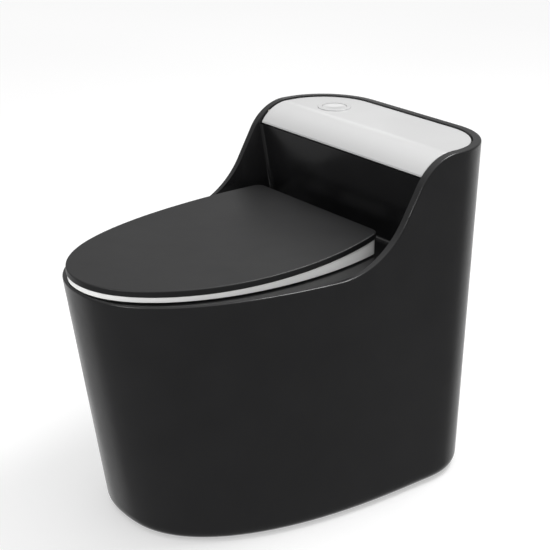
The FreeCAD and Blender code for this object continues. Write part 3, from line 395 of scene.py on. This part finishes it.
# Turned steel: slanting bands of shine, a millimetre or two apart, stand for the finer marks of
# the tool, which would be too small to see.
band_size = 0.0033
steel, tree, shader = start_material("turned_stainless_steel", {"Metallic": 1.0})
place = add(tree, "ShaderNodeTexCoord").outputs["Object"]
rings = add(tree, "ShaderNodeTexWave", {
    "Vector": place, "Scale": 1 / band_size, "Distortion": 1.5, "Detail": 2.0,
}, wave_type="BANDS", bands_direction="DIAGONAL")
tint = add(tree, "ShaderNodeMix", {
    "Factor": rings.outputs["Fac"], 6: linear("#a9abad"), 7: linear("#c4c6c8"),
}, data_type="RGBA")
tree.links.new(tint.outputs[2], shader.inputs["Base Color"])
shine = add(tree, "ShaderNodeMapRange", {0: rings.outputs["Fac"], 1: 0.0, 2: 1.0, 3: 0.24, 4: 0.36})
tree.links.new(shine.outputs[0], shader.inputs["Roughness"])
dress(steel, "hinge_pins", "flush_lever_pin")

# The plastics have an even, slightly waxy shine and a fine grain; the black rubber is almost dull.
grey_plastic = moulded("moulded_grey_polypropylene", "#7f858d", "#737980", 0.45, 0.0012, 0.00003, 0.03)
white_plastic = moulded("moulded_white_acetal", "#e4e4e1", "#dadad6", 0.38, 0.0012, 0.00003, 0.03)
blue_plastic = moulded("moulded_blue_acetal", "#2c5f9b", "#255489", 0.35, 0.0012, 0.00003, 0.03)
black_rubber = moulded("black_rubber_with_a_mould_bloom", "#2a2a2a", "#1c1c1c", 0.7, 0.0008, 0.00005, 0.015)
dress(grey_plastic, "soft_close_dampers", "push_rod", "flush_lever", "lift_tube")
dress(black_rubber, "seat_washers")
dress(white_plastic, "seat_wing_nuts")


def thread_tree(material):
    """A tree that stands a rod with a raised spiral thread at each point, its foot on the point."""
    tree = bpy.data.node_groups.new("threaded_rod", "GeometryNodeTree")
    start = size_inputs(tree, {"Crest radius": 0.0, "Length": 0.0, "Pitch": 0.0, "Depth": 0.0})
    root = add(tree, "ShaderNodeMath", {
        0: start.outputs["Crest radius"], 1: start.outputs["Depth"],
    }, operation="SUBTRACT")
    core = add(tree, "GeometryNodeMeshCylinder", {
        "Vertices": 32, "Radius": root.outputs[0], "Depth": start.outputs["Length"],
    })
    half = add(tree, "ShaderNodeMath", {0: start.outputs["Length"], 1: 0.5}, operation="MULTIPLY")
    up = add(tree, "ShaderNodeCombineXYZ", {"Z": half.outputs[0]})
    stood_core = add(tree, "GeometryNodeTransform", {
        "Geometry": core.outputs["Mesh"], "Translation": up.outputs[0],
    })
    run = add(tree, "ShaderNodeMath", {
        0: start.outputs["Length"], 1: start.outputs["Pitch"],
    }, operation="SUBTRACT")
    turns = add(tree, "ShaderNodeMath", {0: run.outputs[0], 1: start.outputs["Pitch"]}, operation="DIVIDE")
    spiral = add(tree, "GeometryNodeCurveSpiral", {
        "Resolution": 24, "Rotations": turns.outputs[0], "Start Radius": root.outputs[0],
        "End Radius": root.outputs[0], "Height": run.outputs[0],
    })
    lift = add(tree, "ShaderNodeMath", {0: start.outputs["Pitch"], 1: 0.5}, operation="MULTIPLY")
    up = add(tree, "ShaderNodeCombineXYZ", {"Z": lift.outputs[0]})
    raised = add(tree, "GeometryNodeTransform", {"Geometry": spiral.outputs[0], "Translation": up.outputs[0]})
    ridge = add(tree, "GeometryNodeCurvePrimitiveCircle", {"Resolution": 4, "Radius": start.outputs["Depth"]})
    wound = add(tree, "GeometryNodeCurveToMesh", {
        "Curve": raised.outputs[0], "Profile Curve": ridge.outputs[0], "Fill Caps": True,
    })
    whole = add(tree, "GeometryNodeJoinGeometry")
    tree.links.new(stood_core.outputs[0], whole.inputs[0])
    tree.links.new(wound.outputs[0], whole.inputs[0])
    stood = add(tree, "GeometryNodeInstanceOnPoints", {
        "Points": start.outputs["Geometry"], "Instance": whole.outputs[0],
    })
    finish_tree(tree, stood.outputs[0], material)
    return tree


threaded_rod = thread_tree(steel)
studs = solids_of("seat_studs")
stud_low, stud_high = studs[0]
sizes = {
    "Crest radius": (stud_high.x - stud_low.x) / 2, "Length": stud_high.z - stud_low.z,
    "Pitch": 0.00125, "Depth": 0.0006,
}
feet = [on_axis(s, s[0].z) for s in studs]
mesh = grow("seat_stud_threads", threaded_rod, sizes, feet)
new_piece("seat_stud_threads", mesh, steel, "china", "hinge_steel", "seat_studs")


# ---- Flush valve
# A white acetal cage screwed to the cistern's floor over a rubber gasket. The button's rod rocks
# the lever, whose fork lifts the grey overflow tube and the seal under it.
def turned(profile, centre_x, centre_y, steps=64):
    """A closed round mesh from a profile of radius and height pairs; both ends lie on the axis or meet."""
    shape = bmesh.new()
    for step in range(steps):
        turn = 2 * math.pi * step / steps
        for radius, z in profile:
            shape.verts.new((centre_x + radius * math.cos(turn), centre_y + radius * math.sin(turn), z))
    shape.verts.ensure_lookup_table()
    count = len(profile)
    for step in range(steps):
        following = (step + 1) % steps
        for k in range(count - 1):
            ring = [step * count + k, following * count + k, following * count + k + 1, step * count + k + 1]
            shape.faces.new([shape.verts[i] for i in ring])
    bmesh.ops.remove_doubles(shape, verts=shape.verts, dist=1e-7)
    bmesh.ops.dissolve_degenerate(shape, edges=shape.edges, dist=1e-7)
    bmesh.ops.recalc_face_normals(shape, faces=shape.faces)
    mesh = bpy.data.meshes.new("turned")
    shape.to_mesh(mesh)
    shape.free()
    return mesh


def screw_tree(material, head):
    """A tree that stands a threaded screw with this head at each point, hanging from the point."""
    tree = bpy.data.node_groups.new("flange_screw", "GeometryNodeTree")
    start = size_inputs(tree, {"Shaft radius": 0.0, "Shaft length": 0.0, "Pitch": 0.0})
    turns = add(tree, "ShaderNodeMath", {
        0: start.outputs["Shaft length"], 1: start.outputs["Pitch"],
    }, operation="DIVIDE")
    depth = add(tree, "ShaderNodeMath", {0: start.outputs["Pitch"], 1: 0.4}, operation="MULTIPLY")
    root = add(tree, "ShaderNodeMath", {
        0: start.outputs["Shaft radius"], 1: depth.outputs[0],
    }, operation="SUBTRACT")
    down = add(tree, "ShaderNodeMath", {0: start.outputs["Shaft length"], 1: -1.0}, operation="MULTIPLY")
    half = add(tree, "ShaderNodeMath", {0: down.outputs[0], 1: 0.5}, operation="MULTIPLY")
    core = add(tree, "GeometryNodeMeshCylinder", {
        "Vertices": 24, "Radius": root.outputs[0], "Depth": start.outputs["Shaft length"],
    })
    middle = add(tree, "ShaderNodeCombineXYZ", {"Z": half.outputs[0]})
    hung = add(tree, "GeometryNodeTransform", {
        "Geometry": core.outputs["Mesh"], "Translation": middle.outputs[0],
    })
    spiral = add(tree, "GeometryNodeCurveSpiral", {
        "Resolution": 20, "Rotations": turns.outputs[0], "Start Radius": root.outputs[0],
        "End Radius": root.outputs[0], "Height": start.outputs["Shaft length"],
    })
    foot = add(tree, "ShaderNodeCombineXYZ", {"Z": down.outputs[0]})
    lowered = add(tree, "GeometryNodeTransform", {
        "Geometry": spiral.outputs[0], "Translation": foot.outputs[0],
    })
    ridge = add(tree, "GeometryNodeCurvePrimitiveCircle", {"Resolution": 4, "Radius": depth.outputs[0]})
    wound = add(tree, "GeometryNodeCurveToMesh", {
        "Curve": lowered.outputs[0], "Profile Curve": ridge.outputs[0], "Fill Caps": True,
    })
    cap = add(tree, "GeometryNodeObjectInfo", {"Object": head})
    whole = add(tree, "GeometryNodeJoinGeometry")
    for part in (hung.outputs[0], wound.outputs[0], cap.outputs["Geometry"]):
        tree.links.new(part, whole.inputs[0])
    stood = add(tree, "GeometryNodeInstanceOnPoints", {
        "Points": start.outputs["Geometry"], "Instance": whole.outputs[0],
    })
    finish_tree(tree, stood.outputs[0], material)
    return tree


screws = solids_of("flush_valve_screws")
screw_low, screw_high = screws[0]
head_r = (screw_high.x - screw_low.x) / 2
head_h = 0.003
socket_r = 0.45 * head_r
shaft_r = 0.0021
room_under_tip = 0.001
thread_pitch = 0.0012
head_steps = 36
head_mesh = turned([
    (0, 0), (head_r, 0), (head_r, 0.55 * head_h), (0.85 * head_r, 0.85 * head_h), (0.6 * head_r, head_h),
    (socket_r, head_h), (socket_r, 0.35 * head_h), (0, 0.3 * head_h),
], 0, 0, head_steps)
head = bpy.data.objects.new("screw_head_shape", head_mesh)
scene.collection.objects.link(head)
shaft_length = screw_high.z - screw_low.z - head_h - room_under_tip
sizes = {"Shaft radius": shaft_r, "Shaft length": shaft_length, "Pitch": thread_pitch}
tops = [on_axis(s, s[1].z - head_h) for s in screws]
mesh = grow("flange_screws", screw_tree(steel, head), sizes, tops)
bpy.data.objects.remove(head)
new_piece("flange_screws", mesh, steel, "china", "hinge_steel", "flush_valve_screws")
dress(white_plastic, "flush_valve_body")
dress(black_rubber, "flush_valve_gasket", "flush_seal")


# ---- Fill valve
# A white acetal column with a blue cap, and a foot that takes the supply hose. A six-sided nut
# clamps it through the cistern's floor; a grey float with three grooves slides up and down it.
dress(white_plastic, "fill_valve_body", "fill_valve_nut")
dress(blue_plastic, "fill_valve_cap")
dress(black_rubber, "fill_valve_gasket")
float_low, float_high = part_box("fill_valve_float")
float_x, float_y = (float_low.x + float_high.x) / 2, (float_low.y + float_high.y) / 2
float_r = (float_high.x - float_low.x) / 2
bore_r = 0.0125
groove, edge = 0.0012, 0.0015
float_height = float_high.z - float_low.z
outline = [(bore_r, float_low.z), (float_r - edge, float_low.z), (float_r, float_low.z + edge)]
for share in (0.25, 0.5, 0.75):
    z = float_low.z + share * float_height
    outline += [(float_r, z - edge), (float_r - groove, z - edge / 2)]
    outline += [(float_r - groove, z + edge / 2), (float_r, z + edge)]
outline += [(float_r, float_high.z - edge), (float_r - edge, float_high.z)]
outline += [(bore_r, float_high.z), (bore_r, float_low.z)]
float_steps = 72
mesh = turned(outline, float_x, float_y, float_steps)
new_piece("fill_valve_float_shell", mesh, grey_plastic, "float", "valve_grey", "fill_valve_float")


# ---- Outlet gasket
# A thick ring of moulded black rubber round the foot of the trapway. It is squeezed between the
# china and the floor flange, and seals the two.
dress(black_rubber, "outlet_gasket")


# ---- Cistern lid and its pads
# A separate lid, pressed from gloss white plastic that mirrors the room softly. It drops between
# the wings on four rubber pads and bends down at the front to meet the cistern's wall.
gloss_white = moulded("pressed_gloss_white_cistern_lid", "#d2d2d2", "#cecece", 0.2, 0.005, 0.00002, 0.1)
dress(gloss_white, "cistern_lid")
dress(black_rubber, "cistern_lid_pads")


# ---- Flush button
# A round white button with a shallow dish for the finger slides in a bezel that a knurled nut
# holds from below. Button and bezel are moulded gloss white.
button_white = moulded("moulded_gloss_white_button", "#d3d3d3", "#cfcfcf", 0.16, 0.005, 0.00001, 0.03)
dress(button_white, "button_bezel")
dress(white_plastic, "button_ring_nut")
button_low, button_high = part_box("push_button")
button_x, button_y = (button_low.x + button_high.x) / 2, (button_low.y + button_high.y) / 2
button_r = (button_high.x - button_low.x) / 2
rim, dish = 0.0012, 0.0014
rim_steps, dish_steps, round_steps = 4, 12, 96
dish_r = button_r - 2.5 * rim
outline = [(0, button_low.z), (button_r, button_low.z), (button_r, button_high.z - rim)]
for step in range(1, rim_steps + 1):
    turn = math.pi / 2 * step / rim_steps
    outline.append((button_r - rim + rim * math.cos(turn), button_high.z - rim + rim * math.sin(turn)))
outline.append((dish_r, button_high.z))
for step in range(1, dish_steps + 1):
    share = step / dish_steps
    outline.append((dish_r * (1 - share), button_high.z - dish * math.sin(share * math.pi / 2) ** 1.5))
mesh = turned(outline, button_x, button_y, round_steps)
new_piece("push_button_cap", mesh, button_white, "button", "white_button", "push_button")


def grip_tree(material):
    """A tree that sets a ring of upright finger grips round each point."""
    tree = bpy.data.node_groups.new("knurled_grips", "GeometryNodeTree")
    start = size_inputs(tree, {"Ring radius": 0.0, "Grip radius": 0.0, "Height": 0.0, "Count": 1})
    ring = add(tree, "GeometryNodeMeshCircle", {
        "Vertices": start.outputs["Count"], "Radius": start.outputs["Ring radius"],
    })
    grip = add(tree, "GeometryNodeMeshCylinder", {
        "Vertices": 12, "Radius": start.outputs["Grip radius"], "Depth": start.outputs["Height"],
    })
    knurl = add(tree, "GeometryNodeInstanceOnPoints", {
        "Points": ring.outputs[0], "Instance": grip.outputs["Mesh"],
    })
    around = add(tree, "GeometryNodeInstanceOnPoints", {
        "Points": start.outputs["Geometry"], "Instance": knurl.outputs[0],
    })
    finish_tree(tree, around.outputs[0], material)
    return tree


knurled_grips = grip_tree(white_plastic)
nut_low, nut_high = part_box("button_ring_nut")
grip_r = 0.0011
grip_inset = grip_r / 4
grip_share = 0.8
sizes = {
    "Ring radius": (nut_high.x - nut_low.x) / 2 - grip_inset, "Grip radius": grip_r,
    "Height": (nut_high.z - nut_low.z) * grip_share, "Count": 36,
}
mesh = grow("ring_nut_grips", knurled_grips, sizes, [(nut_low + nut_high) / 2])
new_piece("ring_nut_grips", mesh, white_plastic, "cistern_cover", "valve_white")


# ---- Floor, lights and camera
# A pale matt floor that runs past the view, a white room that is brighter overhead, soft boxes
# that light the piece from out of sight, and the camera.
floor_reach = 14.0
floor_glow = 0.6
floor_mesh = bpy.data.meshes.new("studio_floor")
shape = bmesh.new()
bmesh.ops.create_grid(shape, x_segments=1, y_segments=1, size=floor_reach)
shape.to_mesh(floor_mesh)
shape.free()
studio_floor = bpy.data.objects.new("studio_floor", floor_mesh)
scene.collection.objects.link(studio_floor)
pale, tree, shader = start_material("pale_matt_studio_floor", {"Roughness": 0.95, "IOR": 1.2})
place = add(tree, "ShaderNodeTexCoord").outputs["Object"]
cloud = add(tree, "ShaderNodeTexNoise", {"Vector": place, "Scale": 0.8, "Detail": 1.0})
paint = add(tree, "ShaderNodeMix", {
    "Factor": cloud.outputs["Fac"], 6: linear("#d6d6d6"), 7: linear("#dadada"),
}, data_type="RGBA")
tree.links.new(paint.outputs[2], shader.inputs["Base Color"])
tree.links.new(paint.outputs[2], shader.inputs["Emission Color"])
shader.inputs["Emission Strength"].default_value = floor_glow
floor_mesh.materials.append(pale)
studio_floor.visible_glossy = False
studio_floor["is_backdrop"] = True

# The room grows brighter with height, and has a low glow behind the piece, towards minus X. The
# camera itself sees it plain white.
overhead, all_round = 0.95, 0.27
rear_way, rear_strength = (-0.796, 0.605, 0.0), 0.8
world = bpy.data.worlds.new("studio")
scene.world = world
world.use_nodes = True
tree = world.node_tree
around = add(tree, "ShaderNodeTexCoord").outputs["Generated"]
height = add(tree, "ShaderNodeSeparateXYZ", {0: around}).outputs["Z"]
above = add(tree, "ShaderNodeMath", {0: height, 1: 0.0}, operation="MAXIMUM")
squared = add(tree, "ShaderNodeMath", {0: above.outputs[0], 1: 2.0}, operation="POWER")
glow = add(tree, "ShaderNodeMath", {
    0: squared.outputs[0], 1: overhead, 2: all_round,
}, operation="MULTIPLY_ADD")
behind = add(tree, "ShaderNodeVectorMath", {0: around, 1: rear_way}, operation="DOT_PRODUCT")
rear_share = add(tree, "ShaderNodeMapRange", {
    0: behind.outputs["Value"], 1: 0.2, 2: 1.0, 3: 0.0, 4: rear_strength,
})
low_share = add(tree, "ShaderNodeMapRange", {0: height, 1: -0.15, 2: 0.1, 3: 1.0, 4: 0.0})
rear_glow = add(tree, "ShaderNodeMath", {
    0: rear_share.outputs[0], 1: low_share.outputs[0], 2: glow.outputs[0],
}, operation="MULTIPLY_ADD")
backdrop = tree.nodes["Background"]
backdrop.inputs["Color"].default_value = (1, 1, 1, 1)
seen = add(tree, "ShaderNodeLightPath").outputs["Is Camera Ray"]
strength = add(tree, "ShaderNodeMath", {0: rear_glow.outputs[0], 1: seen}, operation="MAXIMUM")
tree.links.new(strength.outputs[0], backdrop.inputs["Strength"])

# Soft boxes: a bright one high behind, which draws thin lights along the lip; a small dim one
# behind on the left, whose glow lies on the seat lid; one in front that only shows in the
# gloss along the wings' edges; and a low one that fills the white seat's side without a glint.
for lamp_name, towards, distance, size, power, in_gloss, in_matt in (
    ("high_rear_soft_box", (0.20, 0.45, 0.87), 2.6, (1.2, 0.9), 36.0, True, True),
    ("low_left_panel", (-0.70, 0.64, 0.40), 3.0, (0.5, 0.4), 0.5, True, True),
    ("front_edge_light", (0.21, -0.87, 0.46), 2.6, (0.9, 0.6), 16.0, True, False),
    ("low_front_fill", (0.35, -0.93, 0.02), 2.6, (1.4, 0.6), 15.0, False, True),
):
    light = bpy.data.lights.new(lamp_name, "AREA")
    light.shape = "RECTANGLE"
    light.size, light.size_y = size
    light.energy = power
    lamp = bpy.data.objects.new(lamp_name, light)
    towards = Vector(towards).normalized()
    lamp.location = Vector((0, 0, deck_z)) + distance * towards
    lamp.rotation_euler = (-towards).to_track_quat("-Z", "Y").to_euler()
    lamp.visible_camera = False
    lamp.visible_glossy = in_gloss
    lamp.visible_diffuse = in_matt
    scene.collection.objects.link(lamp)

aim = Vector((-0.0293, 0.0064, 0.372))
azimuth, elevation, distance = math.radians(52.752), math.radians(21.488), 2.324
lens = bpy.data.cameras.new("studio_camera")
lens.sensor_width = 36.0
lens.lens = 89.2
lens.shift_x, lens.shift_y = 0.0433, -0.0094
camera = bpy.data.objects.new("studio_camera", lens)
towards = Vector((
    math.sin(azimuth) * math.cos(elevation),
    -math.cos(azimuth) * math.cos(elevation),
    math.sin(elevation),
))
camera.location = aim + distance * towards
camera.rotation_euler = (-towards).to_track_quat("-Z", "Y").to_euler()
scene.collection.objects.link(camera)
scene.camera = camera
scene.view_settings.view_transform = "Standard"

low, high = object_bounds()
